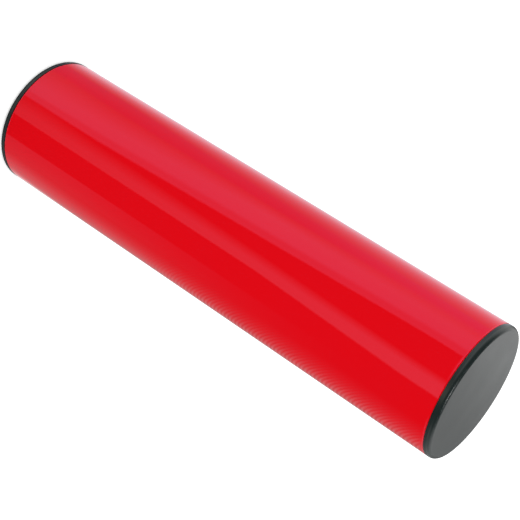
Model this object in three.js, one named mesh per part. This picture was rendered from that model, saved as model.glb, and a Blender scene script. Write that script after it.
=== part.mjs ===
// A hand-held percussion shaker: a lacquered metal tube, closed at both ends by moulded plastic
// plug caps, with a charge of loose steel shot inside. It stands on its lower cap, the axis is Z,
// and the origin is the centre of the lower cap's outer face. All lengths are in millimetres.
import * as THREE from "three";

// Tube
const tubeDiameter = 50;
const tubeLength = 195;
const tubeWall = 1;
const tubeEdgeRadius = 0.6;
const tubeBoreChamfer = 0.25;

// End caps
const flangeThickness = 2.5;
const flangeEdgeRadius = 1.6;
const floorThickness = 2;
const floorFillet = 1;
const skirtDepth = 12;
const skirtWall = 1.2;
const skirtDraft = 0.25;
const leadInLength = 1.5;
const leadInDrop = 0.5;

// Grip fins round the skirt, steep towards the flange and sloped towards the lead-in
const finCount = 3;
const finHeight = 0.4;
const finLength = 2;
const finPitch = 3;
const finRelief = 1.5;

// Shot
const shotDiameter = 5;
const shotCount = 55;

// Clearances
const skirtClearance = 0.3;
const shotClearance = 0.3;

// Facets
const roundSides = 64;
const edgeSteps = 3;
const flangeEdgeSteps = 5;
const shotSides = 12;

// Sizes that follow from the ones above
const tubeRadius = tubeDiameter / 2;
const boreRadius = tubeRadius - tubeWall;
const finRadius = boreRadius - skirtClearance;
const skirtRadius = finRadius - finHeight;
const cupRadius = skirtRadius - skirtWall;
const capDepth = flangeThickness + skirtDepth;
const overallLength = tubeLength + 2 * flangeThickness;
const shotRadius = shotDiameter / 2;
const shotPitch = shotDiameter + shotClearance;
const facetLoss = 1 - Math.cos(Math.PI / roundSides);

const lacquer = new THREE.MeshStandardMaterial({
  color: 0xd9101c,
  roughness: 0.12,
  metalness: 0.1,
});
const blackPlastic = new THREE.MeshStandardMaterial({
  color: 0x23292b,
  roughness: 0.4,
  metalness: 0,
});
const steel = new THREE.MeshStandardMaterial({
  color: 0xb8bbbf,
  roughness: 0.22,
  metalness: 1,
});

// Points of a quarter circle in the half plane of radius and height, from one angle to another.
function quarterArc(centreRadius, centreHeight, radius, startDegrees, endDegrees, steps) {
  const points = [];
  for (let step = 0; step <= steps; step += 1) {
    const angle = THREE.MathUtils.degToRad(
      THREE.MathUtils.lerp(startDegrees, endDegrees, step / steps),
    );
    const across = centreRadius + radius * Math.cos(angle);
    const up = centreHeight + radius * Math.sin(angle);
    points.push(new THREE.Vector2(across, up));
  }
  return points;
}

// A closed solid of revolution round Z. The profile runs with the material on its left.
function turned(profile) {
  const geometry = new THREE.LatheGeometry(profile, roundSides);
  geometry.rotateX(Math.PI / 2);
  return geometry;
}

// The tube: both ends are cut square, rounded outside, where the lacquer wraps over the edge,
// and chamfered inside, where the plug goes in.
function tubeGeometry() {
  const edge = tubeEdgeRadius;
  const outer = tubeRadius - edge;
  const chamfer = tubeBoreChamfer;
  const profile = [
    ...quarterArc(outer, edge, edge, -90, 0, edgeSteps),
    ...quarterArc(outer, tubeLength - edge, edge, 0, 90, edgeSteps),
    new THREE.Vector2(boreRadius + chamfer, tubeLength),
    new THREE.Vector2(boreRadius, tubeLength - chamfer),
    new THREE.Vector2(boreRadius, chamfer),
    new THREE.Vector2(boreRadius + chamfer, 0),
  ];
  profile.push(profile[0].clone());
  return turned(profile);
}

// The saw-tooth grip fins that hold the plug in the bore.
function finPoints() {
  const points = [];
  for (let fin = 0; fin < finCount; fin += 1) {
    const start = flangeThickness + finRelief + fin * finPitch;
    points.push(new THREE.Vector2(skirtRadius, start));
    points.push(new THREE.Vector2(finRadius, start));
    points.push(new THREE.Vector2(skirtRadius, start + finLength));
  }
  return points;
}

// A plug cap with its outer face at height 0 and its skirt pointing up: a flange as wide as the
// tube with a rounded rim, and a thin drafted skirt with grip fins outside and a cup inside.
function capGeometry() {
  const rim = quarterArc(
    tubeRadius - flangeEdgeRadius,
    flangeEdgeRadius,
    flangeEdgeRadius,
    -90,
    0,
    flangeEdgeSteps,
  );
  const cupCorner = quarterArc(
    cupRadius - floorFillet,
    floorThickness + floorFillet,
    floorFillet,
    0,
    -90,
    edgeSteps,
  );
  const profile = [
    new THREE.Vector2(0, 0),
    ...rim,
    new THREE.Vector2(tubeRadius, flangeThickness),
    new THREE.Vector2(skirtRadius, flangeThickness),
    ...finPoints(),
    new THREE.Vector2(skirtRadius, capDepth - leadInLength),
    new THREE.Vector2(skirtRadius - leadInDrop, capDepth),
    new THREE.Vector2(cupRadius + skirtDraft, capDepth),
    ...cupCorner,
    new THREE.Vector2(0, floorThickness),
  ];
  return turned(profile);
}

// Centres of a hexagonal layer of shot, nearest the axis first, out to the reach given.
function hexagonalSpots(reach) {
  const rowHeight = shotPitch * Math.sin(Math.PI / 3);
  const rows = Math.floor(reach / rowHeight);
  const columns = Math.ceil(reach / shotPitch) + rows;
  const spots = [];
  for (let row = -rows; row <= rows; row += 1) {
    for (let column = -columns; column <= columns; column += 1) {
      const spot = new THREE.Vector2(shotPitch * (column + row / 2), rowHeight * row);
      if (spot.length() <= reach) {
        spots.push(spot);
      }
    }
  }
  const byDistance = (a, b) => a.length() - b.length();
  return spots.sort(byDistance);
}

// The loose shot, lying in the lower cap's cup. What doesn't fit in one layer lies in the next.
function shotCharge() {
  const charge = new THREE.Group();
  const geometry = new THREE.SphereGeometry(shotRadius, shotSides, shotSides / 2);
  geometry.rotateX(Math.PI / 2);
  const reach = cupRadius * (1 - facetLoss) - shotClearance - shotRadius;
  const spots = hexagonalSpots(reach);
  const lowest = floorThickness + shotClearance + shotRadius;
  for (let index = 0; index < shotCount; index += 1) {
    const ball = new THREE.Mesh(geometry, steel);
    const spot = spots[index % spots.length];
    const layer = Math.floor(index / spots.length);
    ball.name = `shot_ball_${String(index + 1).padStart(2, "0")}`;
    ball.position.set(spot.x, spot.y, lowest + layer * shotPitch);
    charge.add(ball);
  }
  return charge;
}

function makeTube() {
  const tube = new THREE.Mesh(tubeGeometry(), lacquer);
  tube.name = "tube";
  tube.position.z = flangeThickness;
  return tube;
}

function makeCap(name) {
  const cap = new THREE.Mesh(capGeometry(), blackPlastic);
  cap.name = name;
  return cap;
}

const lowerCap = makeCap("lower_cap");
const upperCap = makeCap("upper_cap");
upperCap.rotation.x = Math.PI;
upperCap.position.z = overallLength;

const shell = new THREE.Group();
shell.add(makeTube(), lowerCap, upperCap);

const shaker = new THREE.Group();
shaker.add(shell, shotCharge());

export default shaker;
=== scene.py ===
import math
from typing import NamedTuple

import bmesh
import bpy
import numpy as np
from mathutils import Matrix, Quaternion, Vector


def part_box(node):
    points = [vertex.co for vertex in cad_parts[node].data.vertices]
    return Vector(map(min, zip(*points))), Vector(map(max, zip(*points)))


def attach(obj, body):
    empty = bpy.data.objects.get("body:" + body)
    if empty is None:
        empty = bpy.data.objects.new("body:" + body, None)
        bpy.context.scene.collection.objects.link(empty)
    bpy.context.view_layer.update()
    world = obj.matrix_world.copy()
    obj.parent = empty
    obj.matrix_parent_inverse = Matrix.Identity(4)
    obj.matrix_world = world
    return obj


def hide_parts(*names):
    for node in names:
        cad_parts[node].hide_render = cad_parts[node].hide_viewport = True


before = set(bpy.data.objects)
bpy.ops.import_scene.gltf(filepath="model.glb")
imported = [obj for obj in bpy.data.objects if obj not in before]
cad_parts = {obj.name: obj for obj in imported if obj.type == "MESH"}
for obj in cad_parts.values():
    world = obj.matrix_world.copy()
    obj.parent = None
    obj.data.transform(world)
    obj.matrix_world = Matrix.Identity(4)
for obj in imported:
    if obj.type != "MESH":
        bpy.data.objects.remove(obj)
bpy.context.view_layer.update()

MM = 0.001
SCENE = bpy.context.scene

# Sizes of the finished surfaces, in metres, as in the solids
TUBE_EDGE_RADIUS = 0.6 * MM
TUBE_BORE_CHAMFER = 0.25 * MM
TUBE_WALL = 1.0 * MM
FLANGE_THICKNESS = 2.5 * MM
FLANGE_EDGE_RADIUS = 1.6 * MM
CAP_FLOOR = 2.0 * MM
CAP_FLOOR_FILLET = 1.0 * MM
SKIRT_WALL = 1.2 * MM
SKIRT_DRAFT = 0.25 * MM
LEAD_IN_LENGTH = 1.5 * MM
LEAD_IN_DROP = 0.5 * MM
FIN_COUNT = 3
FIN_HEIGHT = 0.4 * MM
FIN_LENGTH = 2.0 * MM
FIN_PITCH = 3.0 * MM
FIN_RELIEF = 1.5 * MM
SKIRT_CLEARANCE = 0.3 * MM

# Facets of the finished surfaces. An extra ring beside each outer rounding keeps its shading off
# the surface next to it, and edges sharper than an angle in degrees stay sharp
ROUND_SIDES = 256
EDGE_STEPS = 10
RIM_STEPS = 20
BALL_SUBDIVISIONS = 4
TUBE_RING_OFFSET = 0.6 * MM
CAP_RING_OFFSET = 0.1 * MM
TURNED_SHARP_ANGLE = 35
BALL_SHARP_ANGLE = 60

# The values that noise mostly keeps between
NOISE_LOW, NOISE_HIGH = 0.3, 0.7

# Camera: its place and aim in metres, its roll, and its sensor and lens in millimetres
CAMERA_PLACE = Vector((0.0, -0.4109, 0.3101))
CAMERA_AIM = Vector((0.0013, 0.0, 0.1092))
CAMERA_ROLL = math.radians(122.86)
CAMERA_SENSOR = 36.0
CAMERA_LENS = 90.2
CAMERA_NEAR, CAMERA_FAR = 0.01, 50.0

# Light on the object, and the pale floor, which looks brighter than it lights
WHITE = (1.0, 1.0, 1.0, 1.0)
WORLD_LIGHT = 1.12
FLOOR_SIZE = 4.0
FLOOR_CELLS = 8
FLOOR_COLOUR = (0.8, 0.8, 0.8, 1.0)
FLOOR_LIFT = 0.5

# What only reflections show: a round wall that is bright below the ground's top, a dark ceiling
# with one lamp, and the shade under the shaker's foot. Levels of 1 are white
WALL_RADIUS = 0.5
WALL_LOW, WALL_HIGH = -0.8, 0.8
WALL_COLUMNS = 720
WALL_ROWS = 128
WALL_BASE = 0.03
GROUND_TOP, GROUND_FADE = -0.44, 0.04
CEILING_CELLS = 100
CEILING_LEVEL = 0.03
CEILING_LAMP = (0.12, -0.03)
CEILING_LAMP_RADIUS = 0.08
CEILING_LAMP_LEVEL = 10.0
FOOT_SHADE_LEVEL = 0.03
FOOT_SHADE_WIDTH = 0.9 * MM
FOOT_SHADE_DEPTH = 0.1 * MM
FOOT_SHADE_SIDES = 64

# Fine bowed ribs on the right of the wall: pitch, azimuth of the crown, bow in metres per square
# degree, and how much they lighten and darken the wall at four azimuths. They come in upwards
# between two heights
RIB_PITCH = 3.56 * MM
RIB_CROWN = 161
RIB_BOW = 0.00464 * MM
RIB_AZIMUTHS = (72, 92, 158, 168)
RIB_SHADES = (0.0, 0.55, 0.25, 0.0)
RIB_HEIGHTS = (-0.22, -0.16)

# Heights of the wall, in metres, at which a panel's azimuths and level are given
WALL_HEIGHTS = (-0.37, -0.29, -0.11, 0.03)


class Panel(NamedTuple):
    """A light panel of the wall. Azimuths are in degrees from -Y towards +X: the panel starts at the
    first, is at its full level from the second to the third and ends at the fourth. Upwards it comes
    in between the two heights of foot and goes out between the two of head."""

    start: tuple
    full: tuple
    fade: tuple
    end: tuple
    level: tuple
    foot: tuple = (-0.9, -0.8)
    head: tuple = (0.27, 0.45)
    tint: tuple = (1.0, 1.0, 1.0)


def upright(start, full, fade, end, level, foot, head):
    """A panel whose sides and level are the same at all heights."""
    columns = [(value,) * len(WALL_HEIGHTS) for value in (start, full, fade, end, level)]
    return Panel(*columns, foot=foot, head=head)


PANELS = {
    "rear_left": Panel(
        start=(176, 176, 176, 176),
        full=(195, 195, 195, 195),
        fade=(220, 220, 218, 219),
        end=(261, 261, 286, 300),
        level=(1.03, 1.00, 0.95, 1.00),
        head=(0.08, 0.12),
        tint=(0.95, 0.97, 1.07),
    ),
    "rear_right": Panel(
        start=(104, 138, 138, 138),
        full=(160, 170, 170, 170),
        fade=(185, 185, 185, 185),
        end=(195, 195, 195, 195),
        level=(1.00, 0.52, 0.52, 0.52),
        head=(0.08, 0.12),
    ),
    "left_wall": Panel(
        start=(-128, -128, -128, -128),
        full=(-110, -110, -110, -100),
        fade=(-75, -75, -75, -80),
        end=(-60, -60, -60, -60),
        level=(0.32, 0.28, 0.37, 0.57),
        tint=(0.85, 0.85, 1.3),
    ),
    "softbox": Panel(
        start=(-105, -95, -90, -110),
        full=(-40, -44, -63, -68),
        fade=(-26, -29, -41, -50),
        end=(-12, -13, -26, -36),
        level=(0.95, 0.94, 1.02, 0.97),
    ),
    "softbox_edge": Panel(
        start=(-40, -44, -63, -68),
        full=(-30, -33, -50, -60),
        fade=(-15, -16, -27, -37),
        end=(-11, -12, -24.5, -34.5),
        level=(0.66, 0.64, 0.62, 0.60),
    ),
    "strip": Panel(
        start=(-20, -11, -3, 4),
        full=(10, 11, 12, 16),
        fade=(22, 22, 22, 32),
        end=(24, 24, 24.5, 35.5),
        level=(0.46, 0.53, 0.72, 0.86),
        tint=(1.0, 1.0, 0.8),
    ),
    "right_wall": Panel(
        start=(61, 62, 70, 80),
        full=(115, 120, 150, 130),
        fade=(160, 160, 160, 160),
        end=(190, 190, 190, 190),
        level=(0.50, 0.40, 0.35, 0.34),
    ),
    "right_edge": Panel(
        start=(61, 61, 61, 61),
        full=(63, 63, 63, 63),
        fade=(90, 90, 90, 90),
        end=(120, 120, 120, 120),
        level=(0.30, 0.27, 0.09, 0.00),
    ),
    "high_left": upright(-155, -140, -20, 12, level=1.2, foot=(0.06, 0.12), head=(0.27, 0.45)),
    "high_right": upright(60, 85, 150, 170, level=0.65, foot=(0.06, 0.12), head=(0.27, 0.45)),
    "high_rear": upright(170, 185, 245, 305, level=1.2, foot=(0.20, 0.28), head=(0.38, 0.64)),
    "top_right": upright(80, 125, 175, 180, level=1.0, foot=(0.25, 0.40), head=(0.75, 1.05)),
}


# Meshes


def arc(centre_r, centre_z, radius, start, end, steps):
    """Points (radius, height) of an arc in the half plane, angles in degrees."""
    points = []
    for step in range(steps + 1):
        angle = math.radians(start + (end - start) * step / steps)
        points.append((centre_r + radius * math.cos(angle), centre_z + radius * math.sin(angle)))
    return points


def link_object(name, data):
    """A new object of that name with the data, at the origin."""
    made = bpy.data.objects.new(name, data)
    SCENE.collection.objects.link(made)
    return made


def link_mesh(name, bm):
    """A new object of that name from the bmesh, with outward normals, at the origin."""
    bmesh.ops.recalc_face_normals(bm, faces=bm.faces)
    mesh = bpy.data.meshes.new(name)
    bm.to_mesh(mesh)
    bm.free()
    return link_object(name, mesh)


def smooth_by_angle(piece, degrees):
    """Smooth shading that keeps edges sharper than the angle."""
    mesh = piece.data
    mesh.polygons.foreach_set("use_smooth", [True] * len(mesh.polygons))
    mesh.set_sharp_from_angle(angle=math.radians(degrees))


def ring_of_corners(bm, radius, height):
    """The corners of a round section, or the one corner of a section on the axis."""
    if radius == 0.0:
        return [bm.verts.new((0.0, 0.0, height))]
    ring = []
    for side in range(ROUND_SIDES):
        angle = 2 * math.pi * side / ROUND_SIDES
        ring.append(bm.verts.new((radius * math.cos(angle), radius * math.sin(angle), height)))
    return ring


def turned(name, profile, closed):
    """A solid of revolution round Z of a profile of (radius, height) points.
    An open profile starts and ends on the axis; a closed one comes back to its first point."""
    bm = bmesh.new()
    rings = [ring_of_corners(bm, radius, height) for radius, height in profile]
    pairs = list(zip(rings, rings[1:]))
    if closed:
        pairs.append((rings[-1], rings[0]))
    for low, high in pairs:
        for side in range(ROUND_SIDES):
            after = (side + 1) % ROUND_SIDES
            corners = [low[side % len(low)], low[after % len(low)]]
            corners += [high[after % len(high)], high[side % len(high)]]
            without_repeats = list(dict.fromkeys(corners))
            bm.faces.new(without_repeats)
    piece = link_mesh(name, bm)
    smooth_by_angle(piece, TURNED_SHARP_ANGLE)
    return piece


# Nodes


def emptied_tree(owner, output_kind):
    """The node tree of a material or world, emptied but for a new output."""
    owner.use_nodes = True
    tree = owner.node_tree
    tree.nodes.clear()
    return tree, tree.nodes.new(output_kind)


def node(tree, kind, inputs=None, **settings):
    """A node of that kind with its settings, and its inputs set or linked."""
    made = tree.nodes.new(kind)
    for key, value in settings.items():
        setattr(made, key, value)
    for key, value in (inputs or {}).items():
        if isinstance(value, bpy.types.NodeSocket):
            tree.links.new(value, made.inputs[key])
        else:
            made.inputs[key].default_value = value
    return made


def calculate(tree, operation, *values):
    """What a Math node of that operation makes of the values, which are numbers or outputs."""
    return node(tree, "ShaderNodeMath", dict(enumerate(values)), operation=operation).outputs["Value"]


def noise(tree, scale, detail=3.0, stretch=(1.0, 1.0, 1.0)):
    """Noise in object space, scale in features per metre, stretched along the axes."""
    place = node(tree, "ShaderNodeTexCoord")
    mapped = node(tree, "ShaderNodeMapping", {"Vector": place.outputs["Object"], "Scale": stretch})
    inputs = {"Vector": mapped.outputs["Vector"], "Scale": scale, "Detail": detail}
    return node(tree, "ShaderNodeTexNoise", inputs).outputs["Fac"]


def spread(tree, value, low, high):
    """Carries a noise value over to the range low to high."""
    inputs = {"Value": value, "From Min": NOISE_LOW, "From Max": NOISE_HIGH, "To Min": low, "To Max": high}
    return node(tree, "ShaderNodeMapRange", inputs).outputs["Result"]


def blend_colours(tree, factor, first, second):
    """Mixes two colours by a factor."""
    inputs = {"Factor": factor}
    made = node(tree, "ShaderNodeMix", inputs, data_type="RGBA")
    made.inputs["A"].default_value = (*first, 1.0)
    made.inputs["B"].default_value = (*second, 1.0)
    return made.outputs["Result"]


# Materials


def new_material(name):
    """A material with an empty node tree but for its output and a Principled shader."""
    material = bpy.data.materials.new(name)
    tree, output = emptied_tree(material, "ShaderNodeOutputMaterial")
    shader = tree.nodes.new("ShaderNodeBsdfPrincipled")
    tree.links.new(shader.outputs["BSDF"], output.inputs["Surface"])
    return material, tree, shader


def red_lacquer():
    """Glossy lacquer with slow shifts of colour and gloss and a faint orange peel."""
    colours = (0.755, 0.0030, 0.0085), (0.780, 0.0024, 0.0060)
    roughness = 0.016, 0.026
    colour_scale, gloss_scale, peel_scale = 60.0, 350.0, 420.0
    peel_depth = 0.0004 * MM
    material, tree, shader = new_material("red_lacquer")
    colour = blend_colours(tree, noise(tree, colour_scale), *colours)
    tree.links.new(colour, shader.inputs["Base Color"])
    tree.links.new(spread(tree, noise(tree, gloss_scale), *roughness), shader.inputs["Roughness"])
    peel = noise(tree, peel_scale, detail=1.0)
    relief = node(tree, "ShaderNodeBump", {"Height": peel, "Distance": peel_depth})
    tree.links.new(relief.outputs["Normal"], shader.inputs["Normal"])
    shader.inputs["IOR"].default_value = 1.55
    shader.inputs["Specular Tint"].default_value = (0.4, 0.5, 1.0, 1.0)
    return material


def black_plastic():
    """Moulded plastic with a fine grain and slow shifts of colour and gloss."""
    colours = (0.0095, 0.0175, 0.0165), (0.0115, 0.0195, 0.0185)
    roughness = 0.28, 0.31
    colour_scale, gloss_scale, grain_scale = 120.0, 90.0, 1600.0
    grain_depth = 0.002 * MM
    material, tree, shader = new_material("black_plastic")
    colour = blend_colours(tree, noise(tree, colour_scale), *colours)
    tree.links.new(colour, shader.inputs["Base Color"])
    tree.links.new(spread(tree, noise(tree, gloss_scale), *roughness), shader.inputs["Roughness"])
    relief = node(tree, "ShaderNodeBump", {"Height": noise(tree, grain_scale), "Distance": grain_depth})
    tree.links.new(relief.outputs["Normal"], shader.inputs["Normal"])
    shader.inputs["IOR"].default_value = 1.48
    return material


def bare_metal():
    """Bare metal with fine streaks along the tube."""
    colours = (0.55, 0.56, 0.57), (0.66, 0.66, 0.67)
    roughness = 0.28, 0.42
    colour_scale, streak_scale = 200.0, 900.0
    along_tube = (1.0, 1.0, 0.05)
    material, tree, shader = new_material("bare_metal")
    colour = blend_colours(tree, noise(tree, colour_scale), *colours)
    tree.links.new(colour, shader.inputs["Base Color"])
    streaks = noise(tree, streak_scale, stretch=along_tube)
    tree.links.new(spread(tree, streaks, *roughness), shader.inputs["Roughness"])
    shader.inputs["Metallic"].default_value = 1.0
    return material


def steel_shot():
    """Polished steel with light wear."""
    colours = (0.56, 0.57, 0.59), (0.66, 0.66, 0.67)
    roughness = 0.10, 0.22
    colour_scale, wear_scale = 400.0, 1500.0
    material, tree, shader = new_material("steel_shot")
    colour = blend_colours(tree, noise(tree, colour_scale), *colours)
    tree.links.new(colour, shader.inputs["Base Color"])
    tree.links.new(spread(tree, noise(tree, wear_scale), *roughness), shader.inputs["Roughness"])
    shader.inputs["Metallic"].default_value = 1.0
    return material


# Pieces


def make_tube(lacquer, metal):
    """The lacquered tube: lacquer outside and over the rounded edges, bare metal inside."""
    low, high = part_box("tube")
    radius = high.x
    bore = radius - TUBE_WALL
    edge = TUBE_EDGE_RADIUS
    mouth = bore + TUBE_BORE_CHAMFER
    bottom, top = low.z, high.z
    ring = edge + TUBE_RING_OFFSET
    profile = arc(radius - edge, bottom + edge, edge, -90, 0, EDGE_STEPS)
    profile += [(radius, bottom + ring), (radius, top - ring)]
    profile += arc(radius - edge, top - edge, edge, 0, 90, EDGE_STEPS)
    profile += [(mouth, top), (bore, top - TUBE_BORE_CHAMFER)]
    profile += [(bore, bottom + TUBE_BORE_CHAMFER), (mouth, bottom)]
    piece = turned("tube_lacquered", profile, closed=True)
    piece.data.materials.append(lacquer)
    piece.data.materials.append(metal)
    for face in piece.data.polygons:
        if face.center.xy.length < mouth:
            face.material_index = 1
    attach(piece, "shell")
    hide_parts("tube")


def cap_profile(radius, depth, bore):
    """Profile of a plug cap with its outer face at height 0 and its skirt upwards."""
    edge = FLANGE_EDGE_RADIUS
    fillet = CAP_FLOOR_FILLET
    fin_radius = bore - SKIRT_CLEARANCE
    skirt = fin_radius - FIN_HEIGHT
    cup = skirt - SKIRT_WALL
    profile = [(0.0, 0.0), (radius - edge - CAP_RING_OFFSET, 0.0)]
    profile += arc(radius - edge, edge, edge, -90, 0, RIM_STEPS)
    profile += [(radius, FLANGE_THICKNESS), (skirt, FLANGE_THICKNESS)]
    for fin in range(FIN_COUNT):
        start = FLANGE_THICKNESS + FIN_RELIEF + fin * FIN_PITCH
        profile += [(skirt, start), (fin_radius, start), (skirt, start + FIN_LENGTH)]
    profile += [(skirt, depth - LEAD_IN_LENGTH), (skirt - LEAD_IN_DROP, depth)]
    profile += [(cup + SKIRT_DRAFT, depth)]
    profile += arc(cup - fillet, CAP_FLOOR + fillet, fillet, 0, -90, EDGE_STEPS)
    profile += [(0.0, CAP_FLOOR)]
    return profile


def make_cap(node_name, plastic, flip):
    """A moulded plug cap in the place of the solid of that name."""
    low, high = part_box(node_name)
    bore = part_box("tube")[1].x - TUBE_WALL
    profile = cap_profile(high.x, high.z - low.z, bore)
    piece = turned(f"{node_name}_moulded", profile, closed=False)
    if flip:
        turn = Matrix.Translation((0, 0, high.z)) @ Matrix.Rotation(math.pi, 4, "X")
        piece.data.transform(turn)
    piece.data.materials.append(plastic)
    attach(piece, "shell")
    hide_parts(node_name)


def make_shot(steel):
    """A smooth ball in the place of each faceted one, on the body of its own."""
    names = sorted(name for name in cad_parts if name.startswith("shot_ball_"))
    low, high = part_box(names[0])
    bm = bmesh.new()
    bmesh.ops.create_icosphere(bm, subdivisions=BALL_SUBDIVISIONS, radius=(high.z - low.z) / 2)
    first = link_mesh("steel_ball_01", bm)
    smooth_by_angle(first, BALL_SHARP_ANGLE)
    first.data.materials.append(steel)
    balls = [first]
    for number in range(2, len(names) + 1):
        balls.append(link_object(f"steel_ball_{number:02d}", first.data))
    for piece, name in zip(balls, names):
        low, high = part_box(name)
        piece.location = (low + high) / 2
        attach(piece, name)
        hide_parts(name)


# Studio


def make_camera():
    """The photograph's camera."""
    camera = link_object("camera", bpy.data.cameras.new("camera"))
    camera.data.sensor_width = CAMERA_SENSOR
    camera.data.lens = CAMERA_LENS
    camera.data.clip_start = CAMERA_NEAR
    camera.data.clip_end = CAMERA_FAR
    look = (CAMERA_AIM - CAMERA_PLACE).to_track_quat("-Z", "Y")
    camera.location = CAMERA_PLACE
    camera.rotation_mode = "QUATERNION"
    camera.rotation_quaternion = look @ Quaternion((0.0, 0.0, 1.0), CAMERA_ROLL)
    SCENE.camera = camera


def seen_or_mirrored(tree):
    """1 for rays from the camera and for mirrored or refracted ones, 0 for the rays that light things."""
    path = node(tree, "ShaderNodeLightPath").outputs
    seen = calculate(tree, "MAXIMUM", path["Is Camera Ray"], path["Is Glossy Ray"])
    return calculate(tree, "MAXIMUM", seen, path["Is Transmission Ray"])


def make_world():
    """Even light from all round, and a white background."""
    world = bpy.data.worlds.new("studio_world")
    SCENE.world = world
    tree, output = emptied_tree(world, "ShaderNodeOutputWorld")
    inputs = {"Value": seen_or_mirrored(tree), "To Min": WORLD_LIGHT, "To Max": 1.0}
    strength = node(tree, "ShaderNodeMapRange", inputs).outputs["Result"]
    background = node(tree, "ShaderNodeBackground", {"Color": WHITE, "Strength": strength})
    tree.links.new(background.outputs["Background"], output.inputs["Surface"])


def make_floor():
    """The pale floor, which takes the shaker's shadow. Mirrored rays pass it on their way to the wall."""
    bm = bmesh.new()
    bmesh.ops.create_grid(bm, x_segments=FLOOR_CELLS, y_segments=FLOOR_CELLS, size=FLOOR_SIZE)
    floor = link_mesh("studio_floor", bm)
    material = bpy.data.materials.new("studio_floor")
    tree, output = emptied_tree(material, "ShaderNodeOutputMaterial")
    matt = node(tree, "ShaderNodeBsdfDiffuse", {"Color": FLOOR_COLOUR})
    inputs = {"Value": seen_or_mirrored(tree), "To Min": 0.0, "To Max": FLOOR_LIFT}
    lift = node(tree, "ShaderNodeMapRange", inputs).outputs["Result"]
    glow = node(tree, "ShaderNodeEmission", {"Color": WHITE, "Strength": lift})
    both = node(tree, "ShaderNodeAddShader", {0: matt.outputs["BSDF"], 1: glow.outputs["Emission"]})
    tree.links.new(both.outputs["Shader"], output.inputs["Surface"])
    floor.data.materials.append(material)
    floor.visible_glossy = False


def wall_colours(azimuths, height):
    """Red, green and blue brightness of the wall at azimuths in degrees and one height in metres."""
    ground = np.interp(height, (GROUND_TOP - GROUND_FADE, GROUND_TOP), (1.0, WALL_BASE))
    colours = np.full((len(azimuths), 3), ground)
    for panel in PANELS.values():
        sides = (panel.start, panel.full, panel.fade, panel.end)
        places = [np.interp(height, WALL_HEIGHTS, side) for side in sides]
        level = np.interp(height, WALL_HEIGHTS, panel.level)
        level *= np.interp(height, panel.foot, (0, 1)) * np.interp(height, panel.head, (1, 0))
        for turn in (0, 360):
            glow = np.interp(azimuths + turn, places, (0, level, level, 0))
            colours = np.maximum(colours, np.outer(glow, panel.tint))
    return colours


def rib_depths(azimuths, height):
    """How much the ribs show on the wall at azimuths in degrees and one height in metres."""
    return np.interp(azimuths, RIB_AZIMUTHS, RIB_SHADES) * np.interp(height, RIB_HEIGHTS, (0, 1))


def rib_shading(tree):
    """Factor of about 1 that makes the ribs lighter and darker than the wall."""
    place = node(tree, "ShaderNodeTexCoord").outputs["Object"]
    parts = node(tree, "ShaderNodeSeparateXYZ", {"Vector": place}).outputs
    azimuth = calculate(tree, "ARCTAN2", parts["X"], calculate(tree, "MULTIPLY", parts["Y"], -1.0))
    aside = calculate(tree, "SUBTRACT", azimuth, math.radians(RIB_CROWN))
    bow = -RIB_BOW * math.degrees(1) ** 2
    height = calculate(tree, "MULTIPLY_ADD", calculate(tree, "MULTIPLY", aside, aside), bow, parts["Z"])
    wave = calculate(tree, "SINE", calculate(tree, "MULTIPLY", height, 2 * math.pi / RIB_PITCH))
    depth = node(tree, "ShaderNodeAttribute", attribute_name="ribs").outputs["Fac"]
    return calculate(tree, "MULTIPLY_ADD", wave, depth, 1.0)


def show_in_reflections(piece, colours):
    """Makes the piece glow in its corners' colours, for mirrored rays alone: it lights nothing."""
    layer = piece.data.attributes.new("glow", "FLOAT_COLOR", "POINT")
    layer.data.foreach_set("color", np.insert(colours, 3, 1.0, axis=1).ravel())
    material = bpy.data.materials.new(piece.name)
    material.cycles.emission_sampling = "NONE"
    tree, output = emptied_tree(material, "ShaderNodeOutputMaterial")
    colour = node(tree, "ShaderNodeAttribute", attribute_name="glow").outputs["Color"]
    glow = node(tree, "ShaderNodeEmission", {"Color": colour})
    tree.links.new(glow.outputs["Emission"], output.inputs["Surface"])
    piece.data.materials.append(material)
    piece.visible_camera = False
    piece.visible_diffuse = False
    piece.visible_transmission = False
    piece.visible_volume_scatter = False
    piece.visible_shadow = False
    return tree, glow


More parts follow.
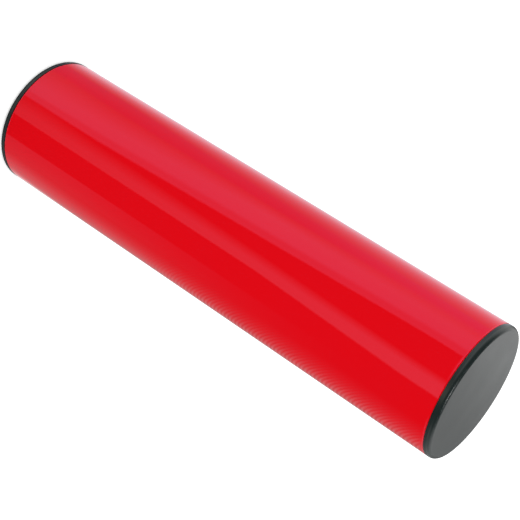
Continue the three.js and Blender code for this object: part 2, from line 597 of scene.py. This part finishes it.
def make_wall():
    """The round wall of light panels and dark gaps."""
    azimuths = np.linspace(-180, 180, WALL_COLUMNS + 1)
    angles = np.radians(azimuths)
    bm = bmesh.new()
    rows = []
    colours = []
    ribs = []
    for height in np.linspace(WALL_LOW, WALL_HIGH, WALL_ROWS + 1):
        places = zip(WALL_RADIUS * np.sin(angles), -WALL_RADIUS * np.cos(angles))
        rows.append([bm.verts.new((x, y, height)) for x, y in places])
        colours.append(wall_colours(azimuths, height))
        ribs.append(rib_depths(azimuths, height))
    for low, high in zip(rows, rows[1:]):
        for column in range(WALL_COLUMNS):
            bm.faces.new((low[column], low[column + 1], high[column + 1], high[column]))
    wall = link_mesh("studio_wall", bm)
    wall.data.attributes.new("ribs", "FLOAT", "POINT").data.foreach_set("value", np.concatenate(ribs))
    tree, glow = show_in_reflections(wall, np.concatenate(colours))
    tree.links.new(rib_shading(tree), glow.inputs["Strength"])


def make_ceiling():
    """The dark ceiling over the wall, with one small lamp."""
    bm = bmesh.new()
    bmesh.ops.create_grid(bm, x_segments=CEILING_CELLS, y_segments=CEILING_CELLS, size=WALL_RADIUS)
    bmesh.ops.translate(bm, verts=bm.verts, vec=(0, 0, WALL_HIGH))
    lamp = Vector(CEILING_LAMP)
    colours = []
    for corner in bm.verts:
        lit = (corner.co.xy - lamp).length < CEILING_LAMP_RADIUS
        colours.append([CEILING_LAMP_LEVEL if lit else CEILING_LEVEL] * 3)
    show_in_reflections(link_mesh("studio_ceiling", bm), np.array(colours))


def make_foot_shade():
    """The shaded floor under and close round the lower cap, as its rim mirrors it."""
    bm = bmesh.new()
    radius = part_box("lower_cap")[1].x + FOOT_SHADE_WIDTH
    bmesh.ops.create_circle(bm, cap_ends=True, segments=FOOT_SHADE_SIDES, radius=radius)
    bmesh.ops.translate(bm, verts=bm.verts, vec=(0, 0, -FOOT_SHADE_DEPTH))
    colours = np.full((FOOT_SHADE_SIDES, 3), FOOT_SHADE_LEVEL)
    show_in_reflections(link_mesh("studio_foot_shade", bm), colours)


SCENE.view_settings.view_transform = "Standard"
make_camera()
make_world()
make_floor()
make_wall()
make_ceiling()
make_foot_shade()

lacquer = red_lacquer()
plastic = black_plastic()
make_tube(lacquer, bare_metal())
make_cap("lower_cap", plastic, flip=False)
make_cap("upper_cap", plastic, flip=True)
make_shot(steel_shot())
